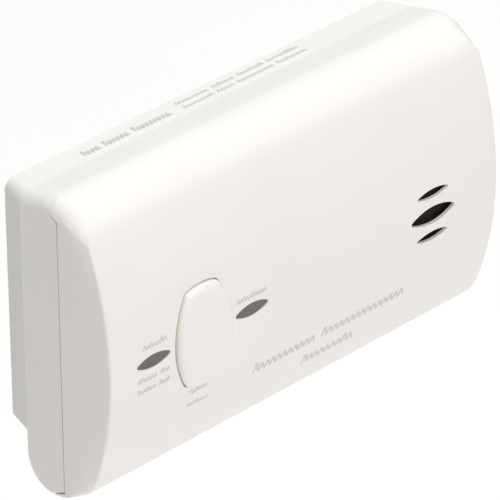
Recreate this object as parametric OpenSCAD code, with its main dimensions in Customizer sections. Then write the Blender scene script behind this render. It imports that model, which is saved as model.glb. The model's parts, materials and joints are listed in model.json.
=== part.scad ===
// Battery-powered carbon monoxide alarm for wall mounting.
// Millimetres. X runs left to right as seen from the front, +Y points into the wall and +Z is up.
// The origin is on the wall plane, midway across the case and halfway up it.
// A "depth" is a distance forward from the wall plane, so it lies at -Y.

/* [Case] */
// Width of the case
case_w = 114.3; // [114:0.1:115.5]
// Height of the front cover
case_h = 69.85; // [69.6:0.05:70.4]
// Depth from the wall to the crown of the curved front
case_d = 33; // [32.8:0.1:33.6]
// Wall thickness of the front cover
wall = 2.2; // [2:0.1:2.4]
// Radius of the curved front
front_r = 75.4; // [72:0.2:80]
// Radius where the front rolls over into the top
top_corner_r = 11; // [10:0.5:12]
// Radius where the front rolls under into the bottom
bottom_corner_r = 12.5; // [11:0.5:13]
// Radius along the left and right edges of the front
edge_r = 0.9; // [0.7:0.1:1.2]
// Radius of the case's two upper corners as seen from the front
shoulder_r = 3.8; // [3:0.2:4.4]

/* [Rear housing] */
// Depth at which the cover and the rear housing part on the sides
seam_depth = 19; // [18.8:0.1:19.2]
// Depth of the narrower block that stands against the wall
block_d = 8.1; // [8:0.1:8.3]
// Height of the block's lower edge above the bottom of the case
block_rise = 10.2; // [9.8:0.1:10.2]
// Thickness of the floor that lies against the wall
floor_t = 2; // [1.8:0.1:2.2]

/* [Front controls] */
// Half the distance between the two indicator windows
window_pitch = 13.75; // [13.2:0.05:14.4]
// Distance of the test button left of the middle
button_x = 30.7; // [30:0.1:31]
// Width of the test button
button_w = 15.2; // [14.6:0.1:15.6]
// Height of the test button
button_h = 23.4; // [22.4:0.1:23.6]
// Height of the button above the curved front
button_proud = 1.7; // [1.4:0.1:1.8]
// How far the button travels when pressed
button_travel = 0.6; // [0.4:0.05:0.8]
// Distance of the sounder right of the middle
sounder_x = 36.4; // [36:0.1:37]

/* [Wall fixing] */
// Distance between the two keyholes
keyhole_spacing = 76.2; // [76:0.1:77]
// Radius of the round seat that a screw's shank hangs in
seat_r = 2.6; // [2.5:0.05:2.7]
// Radius of the hole that a screw's head goes through
head_r = 4.2; // [4:0.1:4.4]
// Drop from the shank's seat to the head's hole
keyhole_drop = 8; // [7.8:0.1:8.4]

/* [Battery] */
// Diameter of a cell
cell_dia = 14.5; // [14:0.1:14.5]
// Length of a cell with its button
cell_l = 50.5; // [50:0.1:50.5]

/* [Hidden] */
$fn = 64;

eps = 0.01;
gap = 0.15;              // half of the parting gap, and the play between parts that nest
side_draft = 0.9;        // how far each side leans in between the seam and the front
arc_z = -0.5;            // height of the front arc's centre
arc_depth = case_d - front_r;
arc_steps = 48;          // segments in the front arc
corner_steps = 16;       // segments in each corner
edge_steps = 4;          // segments across the rounded side edges
shoulder_steps = 6;      // segments along each shoulder where the front rolls over
shoulder_growth = 0.4;   // growth of the shoulders' radius for each millimetre ahead of the seam

// Rear outline: the top rises towards the curved front, and the bottom hangs lower towards the back
top_lean = 0.118;        // rise of the block's top for each millimetre of depth
rear_top = case_h / 2 - 2.85;
top_rise = 13.7;         // slope of the case's top between the block and the upper corner, in degrees
keel_a = 15;             // slope of the case's underside behind the lower corner, in degrees
heel_r = 7.1;            // radius of the lower back corner
top_seam = 10.8;         // depth where the cover's top begins
shoulder_z = case_h / 2 - 4.2;   // height where the seam turns from the side towards the top

// Rear block
block_inset = 2.5;       // how far the block's back is narrower than the case, each side
block_bottom = block_rise - case_h / 2;
block_corner_r = 2.6;    // upper corners at the block's back
block_foot_r = 1.3;      // lower corners

// Walls and insides of the rear housing
housing_wall = 3.2;
tongue_l = 1.8;          // how far the housing's tongue reaches inside the cover

// Front controls all sit on one level
control_z = -0.6;
window_w = 9.2;
window_h = 3.1;
window_recess = 0.25;
window_flange_t = 0.8;
window_back = front_depth(control_z - window_h / 2 - 1, wall) - window_flange_t - 0.1;
light_pipe_back = 25.4;
button_flange = 1.2;
button_crown_r = 1.2;    // rounding of the button's rim
grille_t = 0.9;          // thickness of the cover in the grille
slots = [[0, 13, 4.2], [5.2, 9.2, 2.2], [-5.2, 9.2, 2.2]];   // each slot's height, width and thickness

// Circuit board
board_back = 18.8;
board_t = 1.6;
board_front = board_back + board_t;
board_w = 102;
board_bottom = 6 - case_h / 2;
board_top = 64 - case_h / 2;
corner_notch = [11.2, 13.4];

// Tactile switch
switch_h = 3.5;
plunger_r = 1.75;
plunger_back = board_front + 2.6;
plunger_front = board_front + switch_h + 1.3;

// Sounder
horn_r = 13.5;
horn_wall = 1.5;
chimney_r = 8.6;
chimney_wall = 1.2;
chimney_front = 31;
horn_plate = 27.5;
diaphragm_depth = board_front + 2.2;

// Battery bay
bay_w = 57.2;
bay_bottom = 12.9 - case_h / 2;
bay_top = 61.8 - case_h / 2;
bay_wall = 2;
bay_floor = 17.3;
bay_floor_t = 1.2;
cell_pitch = 15.2;
cell_depth = 9.9;
cell_mid_z = 38.9 - case_h / 2;
contact_t = 0.4;
nub_l = 1.3;
spring_l = bay_w - cell_l - 2 * contact_t - nub_l;

// Battery door
door_t = 1.7;
door_face = 0.2;         // depth of the door's outer face, just behind the wall plane
door_half = 29.75;
door_neck = bay_w / 2 - 0.3;   // half the door's width beside the hinge, where it swings inside the bay
door_top = bay_top + 1.15;
opening_half = door_half + 0.25;
opening_top = door_top + 0.25;
hinge_depth = 3.4;
hinge_z = 16.4 - case_h / 2;
hinge_roll_r = hinge_depth - door_face;
hinge_clear = 4;         // height above the hinge where the door widens to lap over the bay's walls
hinge_pin_r = 1;
hinge_play = 0.05;
lug_r = 1.7;
lug_l = 3;

// Keyholes
seat_z = 54.5 - case_h / 2;
neck_half = 1.78;
pocket_w = 11.4;
pocket_d = 6.8;
pocket_wall = 1;

// Screws
boss_x = 49;
boss_z = [15.5 - case_h / 2, 61 - case_h / 2];
boss_r = 3.2;
case_screw_seat = 12;
case_screw_r = 1.15;
case_head_r = 2.2;
case_screw_tip = 23;
board_screw_at = [[-34, 61], [34, 61], [-20, 8.6], [20, 8.6]];
standoff_r = 2.4;
board_screw_r = 1;

// Carbon monoxide sensor
sensor_x = -38.2;
sensor_r = 7;
sensor_depth = 11;
sensor_bottom = 16.2 - case_h / 2;
sensor_l = 22;
sensor_cap_l = 3.5;

shell_white = [0.93, 0.93, 0.91];

// Points along an arc, from angle a0 to angle a1, in [depth, height]
function arc(depth, z, r, a0, a1, steps) =
    [for (i = [0:steps]) let (a = a0 + (a1 - a0) * i / steps) [depth + r * cos(a), z + r * sin(a)]];

// Angle on the front arc where a corner of radius r and centre height z touches it
function touch_angle(z, r) = asin((z - arc_z) / (front_r - r));

// Depth of the centre of that corner
function corner_depth(z, r) = arc_depth + (front_r - r) * cos(touch_angle(z, r));

// Depth of the curved front at a height, moved in by an inset
function front_depth(z, inset = 0) = arc_depth + sqrt(pow(front_r - inset, 2) - pow(z - arc_z, 2));

// Depth of the cover's inner face at a height, under the front arc or the rounded top corner
function inner_depth(z) =
    z > top_c
        ? top_d + sqrt(pow(top_corner_r - wall, 2) - pow(z - top_c, 2))
        : front_depth(z, wall);

top_c = case_h / 2 - top_corner_r;
bottom_c = bottom_corner_r - case_h / 2;
top_a = touch_angle(top_c, top_corner_r);
bottom_a = touch_angle(bottom_c, bottom_corner_r);
top_d = corner_depth(top_c, top_corner_r);
bottom_d = corner_depth(bottom_c, bottom_corner_r);

// Height of the sloping top at a depth, moved in by an inset
function top_line(depth, inset = 0) =
    top_c + (top_corner_r - inset) / cos(top_rise) + (depth - top_d) * tan(top_rise);

// Upper edge of the side view from the block to well down the front, in [depth, height]
top_edge = concat(
    [[block_d, top_line(block_d)]],
    arc(top_d, top_c, top_corner_r, 90 + top_rise, top_a, shoulder_steps),
    arc(arc_depth, arc_z, front_r, top_a, top_a / 4, shoulder_steps / 2)
);

// Height of the heel's centre, which makes the sloping underside touch both rounded corners
function heel_z(depth) =
    bottom_c + (depth - bottom_d) * tan(keel_a) - (bottom_corner_r - heel_r) / cos(keel_a);

// Side view of the case in front of the rear block, moved in by an inset
module case_profile(inset = 0, back = block_d) {
    heel_d = back + heel_r;
    flip_depth()
        polygon(concat(
            [[back + inset, top_line(back + inset, inset)]],
            arc(top_d, top_c, top_corner_r - inset, 90 + top_rise, top_a, corner_steps),
            arc(arc_depth, arc_z, front_r - inset, top_a, bottom_a, arc_steps),
            arc(bottom_d, bottom_c, bottom_corner_r - inset, bottom_a, keel_a - 90, corner_steps),
            arc(heel_d, heel_z(heel_d), heel_r - inset, keel_a - 90, -180, corner_steps)
        ));
}

// Turns [depth, height] into [Y, Z]
module flip_depth() {
    mirror([1, 0]) children();
}

// Extrudes a [Y, Z] outline symmetrically along X
module along_x(width) {
    translate([-width / 2, 0, 0]) rotate([90, 0, 90]) linear_extrude(width) children();
}

// Extrudes an [X, Z] outline forward between two depths
module forward(from, to) {
    translate([0, -from, 0]) rotate([90, 0, 0]) linear_extrude(to - from) children();
}

// Round bar between two depths
module post(x, z, r, from, to) {
    translate([x, -from, z]) rotate([90, 0, 0]) cylinder(h = to - from, r = r);
}

// Box from its X, depth and Z ranges
module block(x, depth, z) {
    translate([x[0], -depth[1], z[0]]) cube([x[1] - x[0], depth[1] - depth[0], z[1] - z[0]]);
}

// Solid outer shape in front of the rear block, with rounded shoulders and a rounded, drafted front
module case_solid() {
    front_start = seam_depth + 1;
    intersection() {
        hull() {
            for (i = [0:edge_steps])
                let (a = 90 * i / edge_steps)
                    intersection() {
                        along_x(case_w - 2 * side_draft - 2 * edge_r * (1 - cos(a)))
                            case_profile(edge_r * (1 - sin(a)));
                        block([-case_w, case_w], [front_start, 2 * case_d], [-case_h, case_h]);
                    }
            intersection() {
                along_x(case_w) case_profile();
                block([-case_w, case_w], [0, front_start], [-case_h, case_h]);
            }
        }
        shoulders();
    }
}

// Space under the two rounded shoulders, which follow the upper edge of the side view
module shoulders() {
    lift = 0.05;
    slab_t = 0.15;
    ahead = [2 * case_d, top_edge[len(top_edge) - 1][1]];
    hull()
        for (p = concat(top_edge, [ahead]))
            let (r = shoulder_r + shoulder_growth * max(0, min(p[0], case_d) - seam_depth))
                forward(p[0] - slab_t, p[0])
                    round_rectangle(case_w / 2, p[1] + lift, -case_h / 2 - 2, r, 0.5);
}

// Solid outer shape of the block against the wall, tapering towards its back
module block_solid() {
    rim = 0.8;
    front = [case_w / 2 - 0.05, rear_top + top_lean * block_d, block_bottom + 0.5];
    hull() {
        forward(0, eps)
            round_rectangle(case_w / 2 - block_inset - rim, rear_top - rim, block_bottom + rim,
                block_corner_r, block_foot_r);
        forward(rim, rim + eps)
            round_rectangle(case_w / 2 - block_inset, rear_top + top_lean * rim, block_bottom,
                block_corner_r, block_foot_r);
        forward(block_d - eps, block_d)
            round_rectangle(front[0], front[1], front[2], shoulder_r, block_foot_r);
    }
    forward(block_d - 0.1, block_d + 1)
        round_rectangle(front[0], front[1], front[2], shoulder_r, block_foot_r);
}

// Front view of a box between two heights, with its upper and lower corners rounded
module round_rectangle(half, top, bottom, r_top, r_bottom) {
    translate([-half, bottom + r_bottom]) square([2 * half, top - bottom - r_top - r_bottom]);
    translate([r_top - half, top - 2 * r_top]) square([2 * (half - r_top), 2 * r_top]);
    translate([r_bottom - half, bottom]) square([2 * (half - r_bottom), 2 * r_bottom]);
    for (s = [-1, 1]) {
        translate([s * (half - r_top), top - r_top]) circle(r_top, $fn = 32);
        translate([s * (half - r_bottom), bottom + r_bottom]) circle(r_bottom, $fn = 32);
    }
}

// Everything ahead of the seam, shifted by s away from the seam's middle line, and less on the top
module ahead_of_seam(s) {
    low = -case_h / 2;
    hook = seam_depth - 4.4;
    along_x(2 * case_w)
        flip_depth()
            polygon([
                [top_seam + s / 8, case_h],
                [top_seam + s / 8, shoulder_z + 2.8 + s / 8],
                [seam_depth - 4.6 + s / 4, shoulder_z + 2.6 + s / 4],
                [seam_depth + s, shoulder_z + s],
                [seam_depth + s, low + 1.2 - s],
                [hook, low - 0.9 - s],
                [hook, low - 3],
                [2 * case_d, low - 3],
                [2 * case_d, case_h]
            ]);
}

// Lens-shaped outline with pointed ends
module eye(w, h) {
    r = (w * w + h * h) / (4 * h);
    intersection_for (s = [-1, 1])
        translate([0, s * (r - h / 2)]) circle(r, $fn = 128);
}

// Lens-shaped outline whose ends are cut round
module blunt_eye(w, h) {
    intersection() {
        circle(w / 2);
        eye(w + 1, h);
    }
}

// Three slots of the sounder's grille
module grille() {
    for (slot = slots)
        translate([0, slot[0]]) blunt_eye(slot[1], slot[2]);
}

// Barrel-shaped outline of the test button, grown by g
module button_outline(g = 0) {
    side_r = 20;
    end_r = 14;
    offset(r = 1.1 + g)
        offset(delta = -1.1)
            intersection() {
                for_pair(side_r - button_w / 2, side_r, 0);
                for_pair(end_r - button_h / 2, end_r, 90);
            }
}

// Overlap of two circles of radius r whose centres are a distance d each side of the middle
module for_pair(d, r, angle) {
    rotate(angle)
        intersection_for (s = [-1, 1])
            translate([s * d, 0]) circle(r, $fn = 96);
}

// Moves an [X, Z] outline to a control on the front
module at_control(x) {
    translate([x, control_z]) children();
}

// Body of revolution along -Y: the outline is [radius, depth]
module turned(x, z) {
    translate([x, 0, z]) rotate([90, 0, 0]) rotate_extrude() children();
}

// Front cover: a curved shell with windows, a button opening, a grille and screw bosses
module front_cover() {
    color(shell_white)
        difference() {
            union() {
                difference() {
                    intersection() {
                        case_solid();
                        ahead_of_seam(gap);
                    }
                    along_x(case_w - 2 * side_draft - 2 * wall) case_profile(wall);
                    along_x(case_w - 2 * wall)
                        intersection() {
                            case_profile(wall);
                            flip_depth() translate([0, -case_h])
                                square([seam_depth + tongue_l + 2 * gap, 2 * case_h]);
                        }
                }
                for (x = [-boss_x, boss_x], z = boss_z)
                    post(x, z, boss_r - 0.3, case_screw_seat + 2.3, inner_depth(z) + 0.5);
                difference() {
                    post(sounder_x, control_z, chimney_r + 1.4, 28, case_d - 1.4);
                    post(sounder_x, control_z, chimney_r + 0.2, 27, case_d);
                }
            }
            forward(28, case_d + 3) at_control(-button_x) button_outline(0.3);
            for (s = [-1, 1])
                forward(28, case_d + 1) at_control(-button_x + s * window_pitch) blunt_eye(window_w, window_h);
            forward(27, case_d + 1) at_control(sounder_x) grille();
            intersection() {
                post(sounder_x, control_z, chimney_r + 0.2, 27, case_d);
                along_x(case_w) case_profile(grille_t);
            }
            for (x = [-boss_x, boss_x], z = boss_z)
                post(x, z, case_screw_r + 0.05, case_screw_seat + 2, case_screw_tip + 1);
        }
}

// Rear housing: a tray with the battery bay, keyholes, bosses and standoffs
module rear_housing() {
    color(shell_white)
        difference() {
            union() {
                difference() {
                    union() {
                        difference() {
                            case_solid();
                            ahead_of_seam(-gap);
                        }
                        block_solid();
                        intersection() {
                            along_x(case_w - 2 * wall - 2 * gap) case_profile(wall + gap);
                            block([-case_w, case_w], [top_seam - 2, seam_depth + tongue_l],
                                [-case_h, case_h]);
                        }
                    }
                    along_x(case_w - 2 * housing_wall) case_profile(housing_wall, block_d - 1.2);
                    forward(floor_t, block_d + 6)
                        round_rectangle(case_w / 2 - block_inset - wall, rear_top - wall, block_bottom + wall,
                            3, 1);
                }
                battery_bay();
                for (s = [-1, 1]) keyhole_pocket(s * keyhole_spacing / 2);
                for (x = [-boss_x, boss_x], z = boss_z)
                    post(x, z, boss_r, floor_t / 2, case_screw_seat + 2);
                for (p = board_screw_at)
                    post(p[0], p[1] - case_h / 2, standoff_r, p[1] > 30 ? floor_t / 2 : block_d, board_back);
                sensor_cradle();
            }
            bay_opening();
            for (s = [-1, 1]) keyhole(s * keyhole_spacing / 2);
            for (x = [-boss_x, boss_x], z = boss_z) {
                post(x, z, case_head_r + 0.2, -1, case_screw_seat);
                post(x, z, case_screw_r + 0.2, 0, case_screw_seat + 3);
            }
            for (p = board_screw_at)
                post(p[0], p[1] - case_h / 2, board_screw_r + 0.05, board_back - 6.5, board_back + 1);
            hinge_bores();
            terminal_slots(0.9);
        }
}

// Solid block that the battery bay is cut from
module battery_bay() {
    half = bay_w / 2 + bay_wall;
    block([-half, half], [floor_t / 2, bay_floor + bay_floor_t], [bay_bottom - bay_wall, bay_top + bay_wall]);
}

// Space inside the bay, its ribs and the opening for the door
module bay_opening() {
    difference() {
        block([-bay_w / 2, bay_w / 2], [-1, bay_floor], [bay_bottom, bay_top]);
        for (i = [-1, 1])
            block([-20, 20], [bay_floor - 4, bay_floor + 1],
                [cell_mid_z + (i * cell_pitch - 1) / 2, cell_mid_z + (i * cell_pitch + 1) / 2]);
        block([-20, 20], [8, bay_floor + 1], [bay_bottom - 1, bay_bottom + 1.6]);
    }
    block([-opening_half, opening_half], [-1, door_face + door_t + 0.1],
        [hinge_z + hinge_clear - 1.5, opening_top]);
}

// Keyhole through the floor: the head's hole, a narrow neck and the shank's seat above it
module keyhole(x) {
    post(x, seat_z, seat_r, -1, floor_t + eps);
    post(x, seat_z - keyhole_drop, head_r, -1, floor_t + eps);
    block([x - neck_half, x + neck_half], [-1, floor_t + eps], [seat_z - keyhole_drop, seat_z]);
    block([x - pocket_w / 2 + pocket_wall, x + pocket_w / 2 - pocket_wall], [floor_t, pocket_d - pocket_wall],
        [seat_z - keyhole_drop - head_r, seat_z + head_r]);
}

// Closed box behind a keyhole that keeps the screw's head off the parts inside
module keyhole_pocket(x) {
    block([x - pocket_w / 2, x + pocket_w / 2], [floor_t / 2, pocket_d],
        [seat_z - keyhole_drop - head_r - pocket_wall, seat_z + head_r + pocket_wall]);
}

// Holes for the door's hinge pins in the bay's side walls
module hinge_bores() {
    for (s = [-1, 1])
        translate([s * (bay_w / 2 + bay_wall / 2 - 0.2), -hinge_depth, hinge_z])
            rotate([0, 90, 0]) cylinder(h = bay_wall - 0.2, r = hinge_pin_r + hinge_play, center = true);
}

// Two ribs that the sensor's can lies on
module sensor_cradle() {
    for (z = [sensor_bottom + 5, sensor_bottom + 14])
        difference() {
            block([sensor_x - 5, sensor_x + 5], [floor_t / 2, sensor_depth - 3], [z, z + 1.5]);
            translate([sensor_x, -sensor_depth, z - 1]) cylinder(h = 4, r = sensor_r + 0.1);
        }
}

// Door over the batteries: a plate rolled under at its hinge edge, with two lugs and their pins
module battery_door() {
    color(shell_white) {
        difference() {
            union() {
                block([-door_half, door_half], [door_face, door_face + door_t],
                    [hinge_z + hinge_clear, door_top]);
                block([-door_neck, door_neck], [door_face, door_face + door_t],
                    [hinge_z, hinge_z + hinge_clear + eps]);
                roll_under();
                for (s = [-1, 1]) hinge_lug(s);
                block([-9, 9], [door_face + door_t - eps, door_face + door_t + 3.2],
                    [bay_top - 1.7, bay_top - 0.5]);
                for (x = [-18, 18])
                    block([x - 0.6, x + 0.6], [door_face + door_t - eps, door_face + door_t + 0.5],
                        [hinge_z + 6, bay_top - 4]);
            }
            block([-10.6, -9.4], [-1, 3], [door_top - 7, door_top + 1]);
            block([9.4, 10.6], [-1, 3], [door_top - 7, door_top + 1]);
            for (i = [0:4])
                block([-6, 6], [-1, door_face + 0.4], [door_top - 6 + i * 1.1, door_top - 5.5 + i * 1.1]);
        }
    }
}

// Quarter tube about the hinge axis that closes the door's lower edge
module roll_under() {
    intersection() {
        translate([0, -hinge_depth, hinge_z]) rotate([0, 90, 0])
            difference() {
                cylinder(h = 2 * door_half - 2 * bay_wall - 0.8, r = hinge_roll_r, center = true);
                cylinder(h = 2 * door_half, r = hinge_roll_r - door_t, center = true);
            }
        block([-door_half, door_half], [0, hinge_depth], [hinge_z - hinge_roll_r, hinge_z + eps]);
    }
}

// Lug and pin at one end of the hinge
module hinge_lug(s) {
    inner = door_neck - lug_l;
    translate([s * (inner + lug_l / 2), -hinge_depth, hinge_z]) rotate([0, 90, 0])
        cylinder(h = lug_l, r = lug_r, center = true);
    block(s > 0 ? [inner, inner + lug_l] : [-inner - lug_l, -inner], [door_face + 1, hinge_depth],
        [hinge_z - 1.5, hinge_z + lug_r]);
    translate([s * (inner + lug_l + 0.7), -hinge_depth, hinge_z]) rotate([0, 90, 0])
        cylinder(h = 1.6, r = hinge_pin_r, center = true);
}

// Blank rating label on the door
module rating_label() {
    color([0.85, 0.86, 0.87])
        block([-22, 22], [door_face - 0.12, door_face - 0.02], [hinge_z + 6, door_top - 12]);
}

// Test button: a crowned cap with a flange behind the cover and a stem to the switch
module test_button() {
    flange_front = front_depth(button_h / 2 + control_z, wall) - 0.5;
    flange_back = flange_front - button_flange;
    color(shell_white)
        union() {
            hull()
                for (i = [0:4])
                    let (a = 90 * i / 4)
                        intersection() {
                            forward(flange_front - eps, 2 * case_d) at_control(-button_x)
                                button_outline(-button_crown_r * (1 - cos(a)));
                            along_x(3 * case_w) flip_depth() translate([arc_depth, arc_z])
                                circle(front_r + button_proud - button_crown_r * (1 - sin(a)), $fn = 256);
                        }
            forward(flange_back, flange_front) at_control(-button_x) button_outline(1.3);
            for (a = [0, 90])
                translate([-button_x, -plunger_front - 0.02, control_z]) rotate([90, a, 0])
                    linear_extrude(flange_back - plunger_front) square([6, 1.2], center = true);
        }
}

// Smoked window over one indicator, with a flange and a light pipe behind it
module indicator_window(x) {
    fit = 0.08;
    color([0.4, 0.38, 0.37]) {
        intersection() {
            forward(window_back, case_d + 1) at_control(x) blunt_eye(window_w - 2 * fit, window_h - 2 * fit);
            along_x(3 * case_w) flip_depth() translate([arc_depth, arc_z])
                circle(front_r - window_recess, $fn = 256);
        }
        forward(window_back - eps, window_back + window_flange_t) at_control(x)
            square([window_w + 1.6, window_h + 1.8], center = true);
        post(x, control_z, 1.6, light_pipe_back, window_back);
    }
}

// Round light-emitting diode with a flange and a domed tip, standing on two legs
module led(x, tint) {
    base = board_front + 0.6;
    color(tint) {
        post(x, control_z, 1.9, base, base + 0.8);
        post(x, control_z, 1.5, base + 0.7, base + 2.6);
        translate([x, -base - 2.6, control_z]) sphere(1.5);
    }
    color("silver")
        for (s = [-1, 1])
            block([x + s * 0.9 - 0.2, x + s * 0.9 + 0.2], [board_back - 0.15, base + 0.1],
                [control_z - 0.2, control_z + 0.2]);
}

// Circuit board with clearance for the case bosses and holes for screws and tabs
module circuit_board() {
    color([0.1, 0.35, 0.2])
        difference() {
            block([-board_w / 2, board_w / 2], [board_back, board_front], [board_bottom, board_top]);
            for (x = [-boss_x, boss_x])
                post(x, boss_z[0], boss_r + 0.3, board_back - 1, board_front + 1);
            for (s = [-1, 1])
                translate([s * board_w / 2, -board_back, board_top])
                    cube([corner_notch[0], 4 * board_t, corner_notch[1]], center = true);
            for (p = board_screw_at)
                post(p[0], p[1] - case_h / 2, board_screw_r + 0.2, board_back - 1, board_front + 1);
            terminal_slots(0.6);
            for (x = [-button_x - window_pitch, -button_x + window_pitch], s = [-1, 1])
                post(x + s * 0.9, control_z, 0.4, board_back - 1, board_front + 1);
            for (z = sensor_tab_z)
                block([sensor_x - 1.8, sensor_x + 1.8], [board_back - 1, board_front + 1], [z - 0.4, z + 0.4]);
        }
}

// Square body of the tactile switch, open at the front for its plunger
module switch_body() {
    color([0.15, 0.15, 0.16])
        difference() {
            forward(board_front, board_front + switch_h) at_control(-button_x) square(6, center = true);
            post(-button_x, control_z, plunger_r + 0.1, plunger_back - button_travel - 0.2,
                board_front + switch_h + 1);
        }
}

// Round plunger that the button's stem presses
module switch_plunger() {
    color([0.15, 0.15, 0.16]) post(-button_x, control_z, plunger_r, plunger_back, plunger_front);
}

// Chip in a flat package: size along X and Z, height, and legs along two sides
module chip(x, z, size, height, legs) {
    pitch = 1.27;
    body_back = board_front + 0.15;
    color([0.13, 0.13, 0.14])
        block([x - size[0] / 2, x + size[0] / 2], [body_back, body_back + height],
            [z - size[1] / 2, z + size[1] / 2]);
    color("silver")
        for (i = [0:legs - 1], s = [-1, 1])
            let (leg_x = x + (i - (legs - 1) / 2) * pitch, leg_z = z + s * (size[1] / 2 + 0.4))
                block([leg_x - 0.2, leg_x + 0.2], [board_front, board_front + 1], [leg_z - 0.6, leg_z + 0.6]);
}

// Microcontroller that reads the sensor and runs the lights and the sounder
module microcontroller() {
    chip(2, 8, [12.8, 7.5], 2.3, 9);
}

// Driver that powers the sounder
module sounder_driver() {
    chip(14, -9, [5, 4], 1.6, 4);
}

// Crystal in a flat can with round ends
module clock_crystal() {
    color("silver")
        for (s = [-1, 1]) {
            post(2 + s * 3.2, 18, 2, board_front, board_front + 3.4);
            block([-1.2, 5.2], [board_front, board_front + 3.4], [16, 20]);
        }
}

// Round coil on a flanged core that steps the battery voltage up for the sounder
module boost_inductor() {
    color([0.2, 0.2, 0.21])
        turned(14, 6)
            polygon([
                [0, board_front], [4.5, board_front], [4.5, board_front + 0.9], [3.6, board_front + 0.9],
                [3.6, board_front + 4], [4.5, board_front + 4], [4.5, board_front + 4.9],
                [0, board_front + 4.9]
            ]);
}

// Two aluminium-can capacitors
module electrolytic_capacitors() {
    color([0.2, 0.25, 0.45])
        for (z = [-14.5, -22])
            turned(2, z)
                polygon([
                    [0, board_front], [3.15, board_front], [3.15, board_front + 1.2], [2.9, board_front + 1.5],
                    [3.15, board_front + 1.8], [3.15, board_front + 5.4], [2.8, board_front + 5.6],
                    [0, board_front + 5.6]
                ]);
}

// Axial part lying on the board: a round body with a wire out of each end
module axial(x, z, r, length) {
    height = board_front + r + 0.2;
    translate([x, -height, z]) rotate([0, 90, 0]) {
        cylinder(h = length, r = r, center = true);
        cylinder(h = length + 4, r = 0.3, center = true);
    }
    for (s = [-1, 1])
        post(x + s * (length / 2 + 1.5), z, 0.24, board_front, height);
}

// Resistors between the chip and the sensor
module resistors() {
    color([0.75, 0.62, 0.42])
        for (i = [0:4]) axial(-14, -8.5 - 3.5 * i, 1.1, 6);
}

// Diodes beside the inductor
module diodes() {
    color([0.6, 0.25, 0.15])
        for (i = [0:1]) axial(16, 15 + 4 * i, 0.9, 4);
}

// Sounder horn: a cup on the board that narrows to a chimney behind the grille
module sounder_horn() {
    inner = horn_r - horn_wall;
    color([0.16, 0.15, 0.15])
        turned(sounder_x, control_z)
            polygon([
                [inner - 1.2, board_front], [horn_r, board_front], [horn_r, horn_plate],
                [chimney_r, horn_plate], [chimney_r, chimney_front],
                [chimney_r - chimney_wall, chimney_front], [chimney_r - chimney_wall, horn_plate],
                [4.5, horn_plate], [4.5, horn_plate - 1.2],
                [inner, horn_plate - 1.2], [inner, diaphragm_depth], [inner - 1.2, diaphragm_depth]
            ]);
}

// Brass diaphragm resting on the ledge inside the horn
module sounder_diaphragm() {
    color([0.8, 0.65, 0.3])
        post(sounder_x, control_z, horn_r - horn_wall - 0.1, diaphragm_depth + 0.02, diaphragm_depth + 0.32);
}

// Ceramic element bonded to the back of the diaphragm
module piezo_ceramic() {
    color([0.85, 0.85, 0.82])
        post(sounder_x, control_z, 8, diaphragm_depth - 0.25, diaphragm_depth + 0.01);
}

// Sprung pins that carry current from the board to the diaphragm and the ceramic
module sounder_contacts() {
    color([0.85, 0.7, 0.35])
        for (p = [[0, 0], [4.5, 0]])
            turned(sounder_x + p[0], control_z + p[1])
                polygon([
                    [0, board_front], [1.2, board_front], [1.2, board_front + 0.9],
                    [0.7, board_front + 1], [0.7, diaphragm_depth - 0.27], [0, diaphragm_depth - 0.27]
                ]);
}

// Black screen across the chimney, which keeps dust and insects out of the sounder
module dust_screen() {
    color([0.08, 0.07, 0.07])
        post(sounder_x, control_z, chimney_r - chimney_wall - 0.05, chimney_front - 0.5, chimney_front - 0.2);
}

// Electrochemical cell in a steel can, standing in the space beside the batteries
module co_sensor() {
    color([0.75, 0.76, 0.78])
        translate([sensor_x, -sensor_depth, sensor_bottom]) {
            cylinder(h = sensor_l, r = sensor_r);
            translate([0, 0, sensor_l]) cylinder(h = 0.8, r = sensor_r - 1);
        }
}

// Filter cap on the sensor's lower end, with the gas inlet in its middle
module sensor_cap() {
    color([0.1, 0.1, 0.1])
        translate([sensor_x, -sensor_depth, sensor_bottom - sensor_cap_l])
            difference() {
                cylinder(h = sensor_cap_l - 0.02, r = sensor_r);
                translate([0, 0, -1]) cylinder(h = 2.5, r = 1.2);
            }
}

sensor_tab_z = [sensor_bottom + sensor_l + 1.1, sensor_bottom + 1];

// Two nickel tabs that join the sensor to the board
module sensor_tabs() {
    color([0.8, 0.8, 0.8]) {
        block([sensor_x - 1.5, sensor_x + 1.5], [sensor_depth - 3, board_front + 0.6],
            [sensor_tab_z[0] - 0.25, sensor_tab_z[0] + 0.05]);
        block([sensor_x - 1.5, sensor_x + 1.5], [sensor_depth + sensor_r + 0.02, board_front + 0.6],
            [sensor_tab_z[1] - 0.15, sensor_tab_z[1] + 0.15]);
    }
}

// Left end of cell i: the spring's side on the first and last cells, the button's side on the middle one
function spring_side(i) = i == 1 ? 1 : -1;

// Cell i lying along X with its button away from its spring
module battery(i) {
    s = -spring_side(i);
    r = cell_dia / 2;
    start = -s * (bay_w / 2 - contact_t - spring_l);
    color([0.15, 0.35, 0.3])
        translate([start, -cell_depth, cell_mid_z + (i - 1) * cell_pitch])
            rotate([0, s * 90, 0])
                rotate_extrude()
                    polygon([
                        [0, 0], [r - 0.5, 0], [r, 0.5], [r, cell_l - 2], [r - 0.7, cell_l - 1.2],
                        [2.75, cell_l - 1.2], [2.75, cell_l - 0.2], [2.5, cell_l], [0, cell_l]
                    ]);
}

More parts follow.
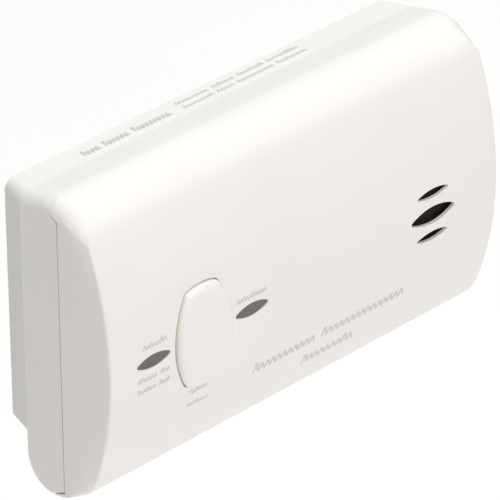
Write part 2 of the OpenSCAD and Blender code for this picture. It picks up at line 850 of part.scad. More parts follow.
// Wire wound about Z, narrowing from radius r0 to r1 over its height
module coil(r0, r1, height, turns, wire_r) {
    ring = 6;
    steps = 14;
    count = turns * steps;
    points = [
        for (i = [0:count])
            let (t = i / count, a = 360 * turns * t, r = r0 + (r1 - r0) * t)
                for (k = [0:ring - 1])
                    let (b = 360 * k / ring)
                        [(r + wire_r * cos(b)) * cos(a), (r + wire_r * cos(b)) * sin(a),
                            wire_r + (height - 2 * wire_r) * t + wire_r * sin(b)]
    ];
    sides = [
        for (i = [0:count - 1], k = [0:ring - 1])
            let (n = (k + 1) % ring)
                [i * ring + k, i * ring + n, (i + 1) * ring + n, (i + 1) * ring + k]
    ];
    first = [for (k = [ring - 1:-1:0]) k];
    last = [for (k = [0:ring - 1]) count * ring + k];
    polyhedron(points, concat([first], sides, [last]), convexity = 10);
}

// Conical springs that press on the flat end of each cell
module battery_springs() {
    color("silver")
        for (i = [0:2])
            let (s = spring_side(i))
                translate([s * (bay_w / 2 - contact_t - 0.02), -cell_depth, cell_mid_z + (i - 1) * cell_pitch])
                    rotate([0, -s * 90, 0])
                        coil(4.4, 2.2, spring_l - 0.06, 3, 0.35);
}

// Contact plate at one end of the bay, over cells first to last, with a boss where it meets a button
module contact_plate(side, first, last) {
    face = side * bay_w / 2;
    x = side > 0 ? [face - contact_t, face - 0.02] : [face + 0.02, face + contact_t];
    color([0.8, 0.8, 0.78]) {
        block(x, [cell_depth - 5, bay_floor - 0.1],
            [cell_mid_z + (first - 1) * cell_pitch - 5.5, cell_mid_z + (last - 1) * cell_pitch + 5.5]);
        for (i = [first:last])
            if (spring_side(i) != side)
                translate([face - side * (contact_t + nub_l / 2 - 0.1), -cell_depth,
                    cell_mid_z + (i - 1) * cell_pitch])
                    rotate([0, 90, 0]) cylinder(h = nub_l + 0.16, r = 3, center = true);
    }
}

// Where the two outer plates' tabs go forward through the bay's floor and the board
tab_w = 3;
tab_z = [cell_mid_z + cell_pitch, cell_mid_z - cell_pitch - 3.5];

// Solder tab of a terminal: side -1 is the left end of the bay and 1 the right
module terminal_tab(side, z) {
    face = side * bay_w / 2;
    x = side > 0 ? [face - contact_t, face - 0.02] : [face + 0.02, face + contact_t];
    block(x, [bay_floor - 2, board_front + 0.8], [z - tab_w / 2, z + tab_w / 2]);
}

// Slots for both solder tabs, as wide as the given play around them
module terminal_slots(play) {
    for (side = [-1, 1])
        let (z = side < 0 ? tab_z[0] : tab_z[1], mid = side * (bay_w / 2 - contact_t / 2))
            block([mid - play / 2 - 0.1, mid + play / 2 + 0.1], [bay_floor - 0.5, board_front + 2],
                [z - tab_w / 2 - 0.2, z + tab_w / 2 + 0.2]);
}

// End plate that takes the spring of the last cell
module negative_terminal() {
    color([0.8, 0.8, 0.78]) {
        contact_plate(-1, 2, 2);
        terminal_tab(-1, tab_z[0]);
    }
}

// End plate that meets the button of the first cell
module positive_terminal() {
    color([0.8, 0.8, 0.78]) {
        contact_plate(1, 0, 0);
        terminal_tab(1, tab_z[1]);
    }
}

// Screw with a cross recess, its head's seat at a depth
module screw(x, z, seat, tip, r, head_r, head_h) {
    color([0.7, 0.71, 0.73])
        difference() {
            turned(x, z)
                polygon([
                    [0, seat - head_h], [head_r - 0.6, seat - head_h], [head_r, seat - head_h + 0.6],
                    [head_r, seat], [r, seat], [r, tip - 1.5], [0.2, tip], [0, tip]
                ]);
            for (a = [0, 90])
                translate([x, -seat + head_h, z]) rotate([0, a, 0])
                    cube([head_r * 1.1, 1.8, 0.5], center = true);
        }
}

// Four screws driven from behind that hold the cover on
module case_screws() {
    for (x = [-boss_x, boss_x], z = boss_z)
        screw(x, z, case_screw_seat - 0.02, case_screw_tip, case_screw_r, case_head_r, 1.6);
}

// Four screws driven from the front that hold the board down
module board_screws() {
    for (p = board_screw_at)
        translate([p[0], -board_front - 0.02, p[1] - case_h / 2]) mirror([0, 1, 0])
            screw(0, 0, 0, board_t + 5.5, board_screw_r, 2, 1.4);
}

front_cover();
rear_housing();
battery_door();
rating_label();
test_button();
indicator_window(-button_x - window_pitch);  // alarm_window
indicator_window(-button_x + window_pitch);  // power_window
led(-button_x - window_pitch, [0.75, 0.15, 0.12]);  // alarm_led
led(-button_x + window_pitch, [0.2, 0.6, 0.25]);  // power_led
circuit_board();
switch_body();
switch_plunger();
microcontroller();
sounder_driver();
clock_crystal();
boost_inductor();
electrolytic_capacitors();
resistors();
diodes();
sounder_horn();
sounder_diaphragm();
piezo_ceramic();
sounder_contacts();
dust_screen();
co_sensor();
sensor_cap();
sensor_tabs();
battery(0);  // battery_1
battery(1);  // battery_2
battery(2);  // battery_3
battery_springs();
positive_terminal();
negative_terminal();
contact_plate(-1, 0, 1);  // cell_link_left
contact_plate(1, 1, 2);  // cell_link_right
case_screws();
board_screws();
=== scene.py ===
"""Looks of the wall-mounted carbon monoxide alarm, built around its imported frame.

Everything is in metres in the frame's own axes: +X right as seen from the front, +Y into the wall, +Z up.
"""
import json
import math
import random

import bmesh
import bpy
from mathutils import Matrix, Vector


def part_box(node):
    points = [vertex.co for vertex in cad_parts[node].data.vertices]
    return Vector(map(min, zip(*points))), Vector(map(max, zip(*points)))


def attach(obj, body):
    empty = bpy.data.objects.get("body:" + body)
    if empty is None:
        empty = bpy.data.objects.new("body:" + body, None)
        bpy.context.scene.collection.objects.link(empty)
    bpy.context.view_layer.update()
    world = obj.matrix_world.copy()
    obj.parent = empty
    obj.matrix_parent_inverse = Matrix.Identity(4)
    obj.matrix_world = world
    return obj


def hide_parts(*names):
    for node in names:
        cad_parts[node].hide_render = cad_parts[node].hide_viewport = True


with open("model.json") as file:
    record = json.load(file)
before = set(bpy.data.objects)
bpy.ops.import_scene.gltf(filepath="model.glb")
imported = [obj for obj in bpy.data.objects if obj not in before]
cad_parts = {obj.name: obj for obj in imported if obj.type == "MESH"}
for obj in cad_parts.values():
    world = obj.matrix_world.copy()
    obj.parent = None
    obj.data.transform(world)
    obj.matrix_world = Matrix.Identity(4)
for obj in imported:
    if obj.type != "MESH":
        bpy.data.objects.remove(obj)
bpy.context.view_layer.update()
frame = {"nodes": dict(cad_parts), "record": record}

MM = 0.001


# ---------------------------------------------------------------- driving sizes

COVER_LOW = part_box("front_cover")[0]
HOUSING_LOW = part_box("rear_housing")[0]
DOOR_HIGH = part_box("battery_door")[1]
LABEL_LOW, LABEL_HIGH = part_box("rating_label")

FRONT_RADIUS = 75.4 * MM                # the cover's curved front, about an axis along X
FRONT_ARC_Y = COVER_LOW.y + FRONT_RADIUS
FRONT_ARC_Z = -0.5 * MM
BLOCK_TOP = 32.075 * MM                 # height of the rear block's top where it meets the wall
BLOCK_LEAN = 0.118                      # rise of the rear block's top for each metre forward

SHELL_EDGE = 0.10 * MM                  # width of the rounding on a white shell's sharp edges
DOOR_EDGE = 0.15 * MM
FINE_EDGE = 0.06 * MM                   # the same on every other part
EDGE_WIDTH = {"front_cover": SHELL_EDGE, "rear_housing": SHELL_EDGE, "test_button": SHELL_EDGE,
              "battery_door": DOOR_EDGE}

SINK = 0.04 * MM                        # how far a raised mark reaches into the surface under it
INK_LIFT = 0.02 * MM
LABEL_INK_LIFT = 0.015 * MM
MOULDED_LIFT = 0.10 * MM
ARROW_LIFT = 0.12 * MM
LABEL_RULE = 0.25 * MM                  # width of the printed rules on the label

# Each line of wordless print is measured from the middle of a node, or from the frame's origin where it has
# none: left end, right end, foot and height in mm, and then the crests in each word
FRONT_LINES = (
    (None, -14.9, 29.6, -18.4, 2.9, (11, 15)),
    (None, 0.6, 15.7, -23.8, 2.9, (9,)),
    ("alarm_window", -2.85, 3.65, 3.1, 1.5, (7,)),
    ("alarm_window", -4.35, 4.45, -4.3, 1.5, (6, 3)),
    ("alarm_window", -4.35, 4.45, -7.0, 1.5, (7, 4)),
    ("power_window", -4.25, 4.05, 2.6, 1.5, (10,)),
    ("test_button", -2.9, 2.0, -14.0, 1.5, (6,)),
    ("test_button", -3.3, 2.9, -17.5, 1.5, (7,)),
)
TOP_LINES = (
    (None, -37.4, -13.3, -6.4, 2.7, (4, 6, 9)),
    (None, -9.8, 25.5, -3.9, 1.6, (10, 7, 8, 10)),
    (None, -9.8, 25.5, -6.4, 1.6, (9, 5, 11, 9)),
)


# ---------------------------------------------------------------- shader helpers

def fill(tree, socket, value):
    """Links a socket to another one, or gives it a constant."""
    if isinstance(value, bpy.types.NodeSocket):
        tree.links.new(value, socket)
    else:
        socket.default_value = value


def node(tree, kind, inputs=(), **settings):
    """Adds a shader node, sets its attributes, and fills its inputs."""
    made = tree.nodes.new(kind)
    for name, value in settings.items():
        setattr(made, name, value)
    for name, value in dict(inputs).items():
        fill(tree, made.inputs[name], value)
    return made


def new_material(name, **shader_values):
    """A material whose Principled shader has these values, with its tree and shader."""
    material = bpy.data.materials.new(name)
    material.use_nodes = True
    tree = material.node_tree
    shader = tree.nodes["Principled BSDF"]
    for key, value in shader_values.items():
        shader.inputs[key.replace("_", " ")].default_value = value
    return material, tree, shader


def object_point(tree):
    """Position in the object's own space, which is the frame's space."""
    return node(tree, "ShaderNodeTexCoord").outputs["Object"]


def noise(tree, scale, detail=2.0, roughness=0.5, vector=None):
    """Value of a noise that is scale cycles to the metre."""
    inputs = {"Vector": vector or object_point(tree), "Scale": scale, "Detail": detail,
              "Roughness": roughness}
    return node(tree, "ShaderNodeTexNoise", inputs).outputs["Fac"]


def stripes(tree, scale, distortion, axis):
    """Value of a wave pattern that repeats along one axis."""
    inputs = {"Vector": object_point(tree), "Scale": scale, "Distortion": distortion}
    return node(tree, "ShaderNodeTexWave", inputs, bands_direction=axis).outputs["Fac"]


def spread(tree, value, low, high):
    """Maps the range that a noise mostly keeps to, to low..high."""
    noise_low = 0.3
    noise_high = 0.7
    inputs = {"Value": value, "From Min": noise_low, "From Max": noise_high, "To Min": low, "To Max": high}
    return node(tree, "ShaderNodeMapRange", inputs).outputs["Result"]


def combine(tree, operation, first, second):
    """One arithmetic operation on two values."""
    made = node(tree, "ShaderNodeMath", operation=operation)
    fill(tree, made.inputs[0], first)
    fill(tree, made.inputs[1], second)
    return made.outputs["Value"]


def mix_colour(tree, factor, first, second):
    """Mixes two colours by a factor."""
    made = node(tree, "ShaderNodeMix", data_type="RGBA")
    for socket, value in ((made.inputs[0], factor), (made.inputs[6], first), (made.inputs[7], second)):
        fill(tree, socket, value)
    return made.outputs[2]


def tone(colour, gain):
    """A colour made lighter or darker, with full alpha."""
    return tuple(min(1.0, channel * gain) for channel in colour[:3]) + (1.0,)


def vary_colour(tree, shader, value, first, second):
    """Lets the surface's colour wander between two colours with a noise."""
    colour_out = mix_colour(tree, spread(tree, value, 0.0, 1.0), first, second)
    tree.links.new(colour_out, shader.inputs["Base Color"])


def vary_gloss(tree, shader, value, low, high):
    """Lets the surface's roughness wander between two levels with a noise."""
    tree.links.new(spread(tree, value, low, high), shader.inputs["Roughness"])


def add_bump(tree, shader, height, depth):
    """Raises the surface by a height texture of a depth in metres."""
    bump = node(tree, "ShaderNodeBump", {"Height": height, "Distance": depth, "Strength": 1.0})
    tree.links.new(bump.outputs["Normal"], shader.inputs["Normal"])


# ---------------------------------------------------------------- materials

def moulded_plastic(name, colour, roughness, grain=0.006 * MM, grain_scale=2600):
    """Injection-moulded plastic with a fine grain, faint flow marks and uneven gloss."""
    material, tree, shader = new_material(name, Specular_IOR_Level=0.3)
    flow = noise(tree, scale=38, detail=3.0)
    gloss = noise(tree, scale=160, detail=4.0)
    vary_colour(tree, shader, flow, tone(colour, 0.988), tone(colour, 1.012))
    vary_gloss(tree, shader, gloss, roughness - 0.05, roughness + 0.05)
    add_bump(tree, shader, noise(tree, grain_scale, detail=3.0, roughness=0.6), grain)
    return material


def smoked_acrylic(name):
    """Dark tinted window plastic with fine vertical moulding lines."""
    material, tree, shader = new_material(name, Specular_IOR_Level=0.6, IOR=1.49)
    flow = noise(tree, scale=220)
    vary_colour(tree, shader, flow, (0.100, 0.086, 0.078, 1), (0.145, 0.127, 0.116, 1))
    vary_gloss(tree, shader, flow, 0.18, 0.30)
    add_bump(tree, shader, stripes(tree, scale=260, distortion=0.6, axis="X"), 0.01 * MM)
    return material


def brushed_metal(name, colour, roughness=0.3, scale=(900, 40, 900)):
    """Metal with cloudy tarnish and fine lines, which run along the axis with the lowest scale."""
    material, tree, shader = new_material(name, Metallic=1.0)
    stretched = node(tree, "ShaderNodeMapping", {"Vector": object_point(tree), "Scale": scale})
    lines = noise(tree, scale=1.0, detail=3.0, vector=stretched.outputs["Vector"])
    tarnish = noise(tree, scale=120, detail=3.0)
    vary_colour(tree, shader, tarnish, tone(colour, 0.86), tone(colour, 1.06))
    vary_gloss(tree, shader, lines, roughness - 0.08, roughness + 0.1)
    add_bump(tree, shader, lines, 0.004 * MM)
    return material


def tinted_epoxy(name, colour):
    """Clear tinted resin of a lamp's body."""
    material, tree, shader = new_material(name, Transmission_Weight=0.35, IOR=1.5)
    cloud = noise(tree, scale=900)
    vary_colour(tree, shader, cloud, tone(colour, 0.85), tone(colour, 1.15))
    vary_gloss(tree, shader, cloud, 0.08, 0.2)
    return material


def coated_paper(name, colour):
    """Matt coated label stock with a faint fibre."""
    material, tree, shader = new_material(name, Specular_IOR_Level=0.4)
    fibre = noise(tree, scale=1400, detail=5.0, roughness=0.7)
    vary_colour(tree, shader, fibre, tone(colour, 0.96), tone(colour, 1.02))
    vary_gloss(tree, shader, fibre, 0.45, 0.6)
    add_bump(tree, shader, fibre, 0.01 * MM)
    return material


def printed_ink(name, colour):
    """Thin pad-printed ink whose cover is slightly uneven."""
    material, tree, shader = new_material(name, Specular_IOR_Level=0.4)
    cover = noise(tree, scale=900, detail=4.0)
    vary_colour(tree, shader, cover, tone(colour, 0.96), tone(colour, 1.04))
    vary_gloss(tree, shader, cover, 0.44, 0.56)
    return material


def solder_mask(name):
    """Green board lacquer over a pattern of copper tracks."""
    material, tree, shader = new_material(name, Coat_Weight=0.35, Coat_Roughness=0.15)
    pattern = {"Vector": object_point(tree), "Scale": 210.0, "Mortar Size": 0.03, "Bias": 0.0,
               "Color1": (0.012, 0.085, 0.035, 1), "Color2": (0.015, 0.10, 0.045, 1),
               "Mortar": (0.03, 0.17, 0.075, 1)}
    tracks = node(tree, "ShaderNodeTexBrick", pattern, offset=0.35)
    tree.links.new(tracks.outputs["Color"], shader.inputs["Base Color"])
    vary_gloss(tree, shader, noise(tree, scale=300), 0.25, 0.4)
    add_bump(tree, shader, tracks.outputs["Fac"], 0.03 * MM)
    return material


def woven_screen(name):
    """Fine black mesh: threads crossing at right angles, with dark gaps between them."""
    material, tree, shader = new_material(name, Roughness=0.6, Specular_IOR_Level=0.3)
    upright, level = (stripes(tree, scale=760, distortion=0.2, axis=axis) for axis in "XZ")
    weave = combine(tree, "MAXIMUM", upright, level)
    colour_out = mix_colour(tree, weave, (0.004, 0.004, 0.004, 1), (0.03, 0.026, 0.023, 1))
    tree.links.new(colour_out, shader.inputs["Base Color"])
    add_bump(tree, shader, weave, 0.08 * MM)
    return material


def cell_sleeve(name, side):
    """Printed sleeve of a battery cell: dark with a copper-coloured band at its button, and bare steel ends.

    The cell's button points along +X for a side of 1, and along -X for -1.
    """
    material, tree, shader = new_material(name, Coat_Weight=0.4, Coat_Roughness=0.1)
    band_start = 11 * MM                # all three places are measured from the case's middle
    button_end = 25.1 * MM
    flat_end = 23.3 * MM
    along = node(tree, "ShaderNodeSeparateXYZ", {"Vector": object_point(tree)}).outputs["X"]
    towards_button = combine(tree, "MULTIPLY", along, side)
    towards_flat = combine(tree, "MULTIPLY", along, -side)
    bare = combine(tree, "MAXIMUM", combine(tree, "GREATER_THAN", towards_button, button_end),
                   combine(tree, "GREATER_THAN", towards_flat, flat_end))
    in_band = combine(tree, "GREATER_THAN", towards_button, band_start)
    cloud = noise(tree, scale=90)
    dark = mix_colour(tree, cloud, (0.018, 0.055, 0.065, 1), (0.026, 0.075, 0.085, 1))
    sleeve = mix_colour(tree, in_band, dark, (0.50, 0.24, 0.10, 1))
    colour_out = mix_colour(tree, bare, sleeve, (0.68, 0.68, 0.69, 1))
    tree.links.new(colour_out, shader.inputs["Base Color"])
    tree.links.new(bare, shader.inputs["Metallic"])
    vary_gloss(tree, shader, cloud, 0.22, 0.34)
    return material


SHELL_WHITE = (0.864, 0.854, 0.832)

# The record's material slots, then the turned cell's sleeve and the finishes of the pieces that are added
MATERIALS = {
    "shell": moulded_plastic("satin_white_abs", SHELL_WHITE, 0.66),
    "button": moulded_plastic("smooth_white_abs", (0.864, 0.855, 0.836), 0.34, grain=0.003 * MM),
    "label": coated_paper("label_stock", (0.74, 0.75, 0.75)),
    "window": smoked_acrylic("smoked_acrylic"),
    "red_led": tinted_epoxy("red_epoxy", (0.6, 0.04, 0.03)),
    "green_led": tinted_epoxy("green_epoxy", (0.05, 0.42, 0.12)),
    "board": solder_mask("solder_mask"),
    "black_plastic": moulded_plastic("black_plastic", (0.02, 0.019, 0.018), 0.5, grain=0.01 * MM),
    "chip": moulded_plastic("chip_epoxy", (0.022, 0.022, 0.024), 0.6, grain=0.012 * MM, grain_scale=4200),
    "can": brushed_metal("drawn_steel", (0.66, 0.66, 0.67)),
    "ferrite": moulded_plastic("ferrite", (0.035, 0.035, 0.038), 0.55, grain=0.015 * MM),
    "capacitor": moulded_plastic("capacitor_sleeve", (0.03, 0.045, 0.16), 0.3, grain=0.003 * MM),
    "resistor": moulded_plastic("resistor_lacquer", (0.55, 0.40, 0.22), 0.35),
    "diode": moulded_plastic("diode_glass", (0.42, 0.10, 0.04), 0.2),
    "brass": brushed_metal("brass", (0.83, 0.62, 0.27), 0.28),
    "piezo": moulded_plastic("silvered_ceramic", (0.78, 0.77, 0.72), 0.4),
    "screen": woven_screen("black_mesh"),
    "nickel": brushed_metal("nickel_plate", (0.74, 0.72, 0.68), 0.25, scale=(60, 900, 900)),
    "cell": cell_sleeve("cell_sleeve", 1),
    "screw": brushed_metal("zinc_plate", (0.70, 0.71, 0.74), scale=(700, 700, 700)),
    "turned_cell": cell_sleeve("cell_sleeve_turned", -1),
    "grey_ink": printed_ink("grey_ink", (0.63, 0.62, 0.59)),
    # The raised letters are moulded in the shell's own plastic; their darker tone is painted shade, standing
    # in for the shading on their relief.
    "moulded_marks_painted_shade": moulded_plastic("moulded_marks_painted_shade", tone(SHELL_WHITE, 0.82), 0.5),
    "label_ink": printed_ink("label_ink", (0.10, 0.11, 0.13)),
    "copper": brushed_metal("copper", (0.78, 0.38, 0.20), 0.25),
}


# ---------------------------------------------------------------- CAD nodes

def soften(obj, width):
    """Rounds every sharp edge by a width and shades the rest smoothly, without touching the mesh itself."""
    weld_gap = 0.002 * MM
    flat_angle = math.radians(0.3)
    sharp_angle = math.radians(28)
    if "custom_normal" in obj.data.attributes:
        obj.data.attributes.remove(obj.data.attributes["custom_normal"])
    obj.data.shade_smooth()
    weld = obj.modifiers.new("weld", "WELD")
    weld.merge_threshold = weld_gap
    flat = obj.modifiers.new("flat", "DECIMATE")
    flat.decimate_type = "DISSOLVE"
    flat.angle_limit = flat_angle
    bevel = obj.modifiers.new("bevel", "BEVEL")
    bevel.width = width
    bevel.segments = 2
    bevel.limit_method = "ANGLE"
    bevel.angle_limit = sharp_angle
    bevel.use_clamp_overlap = True
    normals = obj.modifiers.new("normals", "WEIGHTED_NORMAL")
    normals.keep_sharp = False


def finish_nodes():
    """Gives every CAD node its material and soft edges. The middle cell lies the other way round."""
    for part in frame["record"]["subparts"]:
        name = part["node"]
        slot = "turned_cell" if name == "battery_2" else part["material_slot"]
        obj = frame["nodes"][name]
        obj.data.materials.clear()
        obj.data.materials.append(MATERIALS[slot])
        soften(obj, EDGE_WIDTH.get(name, FINE_EDGE))


# ---------------------------------------------------------------- mesh helpers

def middle_of(name):
    """Middle of a node's box."""
    low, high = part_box(name)
    return (low + high) / 2


def add_piece(name, built, material, body, smooth=False):
    """Makes a piece from a bmesh, gives it a material and lets it ride on a body."""
    bmesh.ops.recalc_face_normals(built, faces=built.faces)
    mesh = bpy.data.meshes.new(name)
    built.to_mesh(mesh)
    built.free()
    mesh.materials.append(MATERIALS[material])
    if smooth:
        mesh.shade_smooth()
    piece = bpy.data.objects.new(name, mesh)
    bpy.context.collection.objects.link(piece)
    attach(piece, body)
    return piece


def add_tube(built, sections):
    """Skins a row of sections that all have the same number of points, and closes both ends."""
    for first, second in zip(sections, sections[1:]):
        for k in range(len(first)):
            built.faces.new((first[k - 1], first[k], second[k], second[k - 1]))
    built.faces.new(sections[0])
    built.faces.new(sections[-1])


def rounded_rectangle(width, height, corner):
    """Outline of a rectangle with rounded corners, centred on the origin."""
    steps = 4                           # straight pieces in each corner
    points = []
    for quarter, (side, level) in enumerate(((1, 1), (-1, 1), (-1, -1), (1, -1))):
        for step in range(steps + 1):
            angle = math.radians(90) * (quarter + step / steps)
            points.append((side * (width / 2 - corner) + corner * math.cos(angle),
                           level * (height / 2 - corner) + corner * math.sin(angle)))
    return points


def add_mark(built, surface, outline, across, up, lift):
    """Adds a thin raised mark that follows a surface, with its outline centred on a place there."""
    rim, foot = ([built.verts.new(surface(across + u, up + v, level)) for u, v in outline]
                 for level in (lift, -SINK))
    built.faces.new(rim)
    for i in range(len(outline)):
        built.faces.new((rim[i - 1], rim[i], foot[i], foot[i - 1]))


def add_stroke(built, surface, path, width, lift):
    """Adds a thin raised stroke that follows a surface along a path of (across, up) points."""
    sections = []
    for i, (across, up) in enumerate(path):
        before = Vector(path[max(i - 1, 0)])
        after = Vector(path[min(i + 1, len(path) - 1)])
        run = (after - before).normalized() * width / 2
        sections.append([built.verts.new(surface(across - side * run.y, up + side * run.x, level))
                         for side, level in ((1, lift), (-1, lift), (-1, -SINK), (1, -SINK))])
    add_tube(built, sections)


def add_line(built, surface, start, end, foot, height, words, lift):
    """Adds a wordless line of print between two places: a wave with this many crests for each word."""
    word_space = 1.2                    # gap between words, in crests
    steps = 10                          # points along each crest
    tall_chance = 0.15                  # how often a later crest is as tall as a word's first one
    low_crest = 0.75
    stroke = 0.2 * height
    dice = random.Random(len(built.verts))
    pitch = (end - start) / (sum(words) + word_space * (len(words) - 1))
    at = start
    for crests in words:
        tops = [1.0 if crest == 0 or dice.random() < tall_chance else low_crest for crest in range(crests)]
        path = []
        for i in range(crests * steps + 1):
            rise = tops[min(i // steps, crests - 1)] * height - stroke
            wave = (1 - math.cos(math.tau * i / steps)) / 2
            path.append((at + pitch * i / steps, foot + stroke / 2 + rise * wave))
        add_stroke(built, surface, path, stroke, lift)
        at += (crests + word_space) * pitch


def add_coil(built, base, axis, length, radii, turns, wire):
    """Adds round wire wound about an axis from a base point, from the first radius to the second."""
    steps = 32                          # sections in each turn
    ring = 10                           # points round the wire
    across = axis.orthogonal().normalized()
    beside = axis.cross(across)
    sections = []
    for i in range(turns * steps + 1):
        share = i / (turns * steps)
        angle = math.tau * i / steps
        outward = across * math.cos(angle) + beside * math.sin(angle)
        centre = (base + axis * (wire + (length - 2 * wire) * share)
                  + outward * (radii[0] + (radii[1] - radii[0]) * share))
        sections.append([built.verts.new(centre + wire * (outward * math.cos(math.tau * k / ring)
                                                          + axis * math.sin(math.tau * k / ring)))
                         for k in range(ring)])
    add_tube(built, sections)


# ---------------------------------------------------------------- surfaces that carry marks

def front_point(across, up, lift):
    """Point on the cover's curved front, raised by a lift."""
    radius = FRONT_RADIUS + lift
    return Vector((across, FRONT_ARC_Y - math.sqrt(radius ** 2 - (up - FRONT_ARC_Z) ** 2), up))


def top_point(across, up, lift):
    """Point on the sloping top of the rear block, raised by a lift; up the line is towards the wall."""
    return Vector((across, up, BLOCK_TOP - BLOCK_LEAN * up + lift))


def label_point(across, up, lift):
    """Point on the rating label, read from behind, raised by a lift."""
    return Vector((-across, LABEL_HIGH.y + lift, up))


def door_point(across, up, lift):
    """Point on the battery door's outer face, read from behind, raised by a lift."""
    return Vector((-across, DOOR_HIGH.y + lift, up))


# ---------------------------------------------------------------- printed and moulded marks

def add_lines(name, surface, lines, lift, material):
    """Makes one piece of several lines of wordless print on the case."""
    built = bmesh.new()
    for anchor, start, end, foot, height, words in lines:
        place = middle_of(anchor) if anchor else Vector()
        add_line(built, surface, place.x + start * MM, place.x + end * MM, place.z + foot * MM, height * MM,
                 words, lift)
    add_piece(name, built, material, "case")


def add_frame(built, across, up, width, height, overrun=0.0):
    """Adds four rules round a rectangle on the label, each longer than its side by an overrun."""
    level_rule = rounded_rectangle(width + overrun, LABEL_RULE, LABEL_RULE / 3)
    upright_rule = rounded_rectangle(LABEL_RULE, height + overrun, LABEL_RULE / 3)
    for side in (-1, 1):
        add_mark(built, label_point, level_rule, across, up + side * height / 2, LABEL_INK_LIFT)
        add_mark(built, label_point, upright_rule, across + side * width / 2, up, LABEL_INK_LIFT)


def add_label_print():
    """Blank rating label: a frame, a heading bar, rows of wordless print and two empty boxes."""
    width = LABEL_HIGH.x - LABEL_LOW.x
    height = LABEL_HIGH.z - LABEL_LOW.z
    margin = 1.6 * MM
    built = bmesh.new()
    add_frame(built, 0, middle_of("rating_label").z, width - 2 * margin, height - 2 * margin)

    left = -width / 2 + 2 * margin
    top = LABEL_HIGH.z - 2 * margin
    heading_w = 0.42 * width
    heading_h = 2.6 * MM
    heading = rounded_rectangle(heading_w, heading_h, 0.4 * MM)
    add_mark(built, label_point, heading, left + heading_w / 2, top - heading_h / 2, LABEL_INK_LIFT)

    rows = 7
    row_w = 0.56 * width
    row_h = 1.1 * MM
    row_pitch = 2.5 * MM
    first_row = top - 5.6 * MM
    for row in range(rows):
        words = (5, 7, 4, 6) if row % 2 else (6, 3, 8, 4)
        add_line(built, label_point, left, left + row_w, first_row - row * row_pitch, row_h, words,
                 LABEL_INK_LIFT)

    box = 8 * MM
    side = box - LABEL_RULE
    across = width / 2 - 2 * margin - box / 2
    for level in (0, 1):
        up = top - box / 2 - level * (box + margin)
        add_frame(built, across, up, side, side, overrun=LABEL_RULE)
    add_piece("label_print", built, "label_ink", "door")


def add_door_arrow():
    """Raised triangle under the door's latch that shows which way it opens."""
    half = 2 * MM
    below_top = 9 * MM
    triangle = [(-half, half / 2), (0, -half), (half, half / 2)]
    built = bmesh.new()
    add_mark(built, door_point, triangle, 0, DOOR_HIGH.z - below_top, ARROW_LIFT)
    add_piece("door_arrow", built, "grey_ink", "door")


# ---------------------------------------------------------------- springs and windings

def add_springs():
    """Smooth conical springs in place of the faceted ones, from the end plates to each cell's flat end."""
    plate_radius = 4.4 * MM
    cell_radius = 2.2 * MM
    wire = 0.35 * MM
    turns = 3
    low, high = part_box("battery_springs")
    built = bmesh.new()
    for name in ("battery_1", "battery_2", "battery_3"):
        cell_low, cell_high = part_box(name)
        middle = middle_of(name)
        turned = middle.x < 0           # a cell lies towards the end plate that its button touches
        plate = high.x if turned else low.x
        flat_end = cell_high.x if turned else cell_low.x
        axis = Vector((-1 if turned else 1, 0, 0))
        add_coil(built, Vector((plate, middle.y, middle.z)), axis, abs(plate - flat_end),
                 (plate_radius, cell_radius), turns, wire)
    piece = add_piece("spring_coils", built, "nickel", "case", smooth=True)
    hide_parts("battery_springs")


def add_winding():
    """Copper wire wound between the two flanges of the coil."""
    flange = 0.95 * MM
    radius = 3.82 * MM
    wire = 0.21 * MM
    turns = 7
    low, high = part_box("boost_inductor")
    middle = middle_of("boost_inductor")
    built = bmesh.new()
    add_coil(built, Vector((middle.x, high.y - flange, middle.z)), Vector((0, -1, 0)),
             high.y - low.y - 2 * flange, (radius, radius), turns, wire)
    add_piece("coil_winding", built, "copper", "case", smooth=True)


# ---------------------------------------------------------------- studio

VIEW_AZIMUTH = math.radians(44.07)      # the camera stands this far to the object's left
VIEW_ELEVATION = math.radians(31.43)
VIEW_ROLL = math.radians(-0.28)
VIEW_DISTANCE = 965.5 * MM
VIEW_LENS = 333.4                       # focal length in Blender's millimetres, for a sensor of this width
SENSOR_WIDTH = 36
AIM = Vector((0, -17, 0.1)) * MM        # middle of the case
AIM_RIGHT = -1.44 * MM                  # shifts of the aim across the picture
AIM_UP = -0.68 * MM
FLOOR_HALF = 3.0
FLOOR_DROP = 0.12                       # gap between the object and the floor below it
WORLD_STRENGTH = 0.06


def make_camera():
    """Long-lens camera at the left front, above the object."""
    forward = Vector((math.sin(VIEW_AZIMUTH) * math.cos(VIEW_ELEVATION),
                      math.cos(VIEW_AZIMUTH) * math.cos(VIEW_ELEVATION), -math.sin(VIEW_ELEVATION)))
    level = Vector((math.cos(VIEW_AZIMUTH), -math.sin(VIEW_AZIMUTH), 0))
    rise = level.cross(forward)
    right = math.cos(VIEW_ROLL) * level + math.sin(VIEW_ROLL) * rise
    up = math.cos(VIEW_ROLL) * rise - math.sin(VIEW_ROLL) * level
    data = bpy.data.cameras.new("camera")
    data.lens = VIEW_LENS
    data.sensor_width = SENSOR_WIDTH
    data.clip_end = 20
    camera = bpy.data.objects.new("camera", data)
    bpy.context.collection.objects.link(camera)
    camera.rotation_mode = "QUATERNION"
    camera.rotation_quaternion = Matrix((right, up, -forward)).transposed().to_quaternion()
    camera.location = AIM + AIM_RIGHT * right + AIM_UP * up - VIEW_DISTANCE * forward
    bpy.context.scene.camera = camera


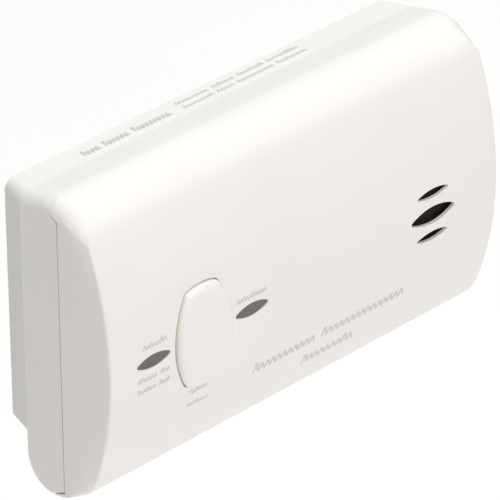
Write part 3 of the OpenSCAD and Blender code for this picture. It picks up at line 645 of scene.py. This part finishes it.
def make_floor():
    """Plain pale floor below the object, which hangs above it as on a wall."""
    mesh = bpy.data.meshes.new("floor")
    built = bmesh.new()
    bmesh.ops.create_grid(built, x_segments=8, y_segments=8, size=FLOOR_HALF)
    built.to_mesh(mesh)
    built.free()
    floor = bpy.data.objects.new("floor", mesh)
    bpy.context.collection.objects.link(floor)
    floor.location = (0, 0, HOUSING_LOW.z - FLOOR_DROP)
    material, tree, shader = new_material("pale_floor", Roughness=0.9, Specular_IOR_Level=0.1,
                                          Emission_Color=(1, 1, 1, 1), Emission_Strength=0.05)
    tint = mix_colour(tree, noise(tree, scale=3), (0.97, 0.97, 0.97, 1), (0.99, 0.99, 0.99, 1))
    tree.links.new(tint, shader.inputs["Base Color"])
    mesh.materials.append(material)


def softbox(name, place, size, power, colour=(1, 1, 1)):
    """Square area light aimed at the frame's origin."""
    data = bpy.data.lights.new(name, "AREA")
    data.size = size
    data.color = colour
    data.energy = power
    light = bpy.data.objects.new(name, data)
    bpy.context.collection.objects.link(light)
    light.location = place
    light.rotation_mode = "QUATERNION"
    light.rotation_quaternion = (-Vector(place)).to_track_quat("-Z", "Y")


def make_light():
    """Even studio light: a dim world, a panel overhead, a broad panel in front and a small one at left."""
    scene = bpy.context.scene
    scene.view_settings.view_transform = "Standard"
    world = bpy.data.worlds.new("studio")
    world.use_nodes = True
    background = world.node_tree.nodes["Background"]
    background.inputs["Color"].default_value = (1, 1, 1, 1)
    background.inputs["Strength"].default_value = WORLD_STRENGTH
    scene.world = world
    softbox("overhead", (0.1, 0.25, 1.55), size=1.6, power=24.5)
    softbox("front", (0.2, -1.4, 1.6), size=2.0, power=18.7)
    softbox("front_left", (-0.9, -1.5, 0.6), size=1.0, power=9.3, colour=(1.0, 0.94, 0.86))


# ---------------------------------------------------------------- build


finish_nodes()
add_lines("front_print", front_point, FRONT_LINES, INK_LIFT, "grey_ink")
# The moulded top marks carry painted shade: a darker tone of the shell's white in place of the shading on
# their relief.
add_lines("top_marks", top_point, TOP_LINES, MOULDED_LIFT, "moulded_marks_painted_shade")
add_label_print()
add_door_arrow()
add_springs()
add_winding()
make_camera()
make_floor()
make_light()
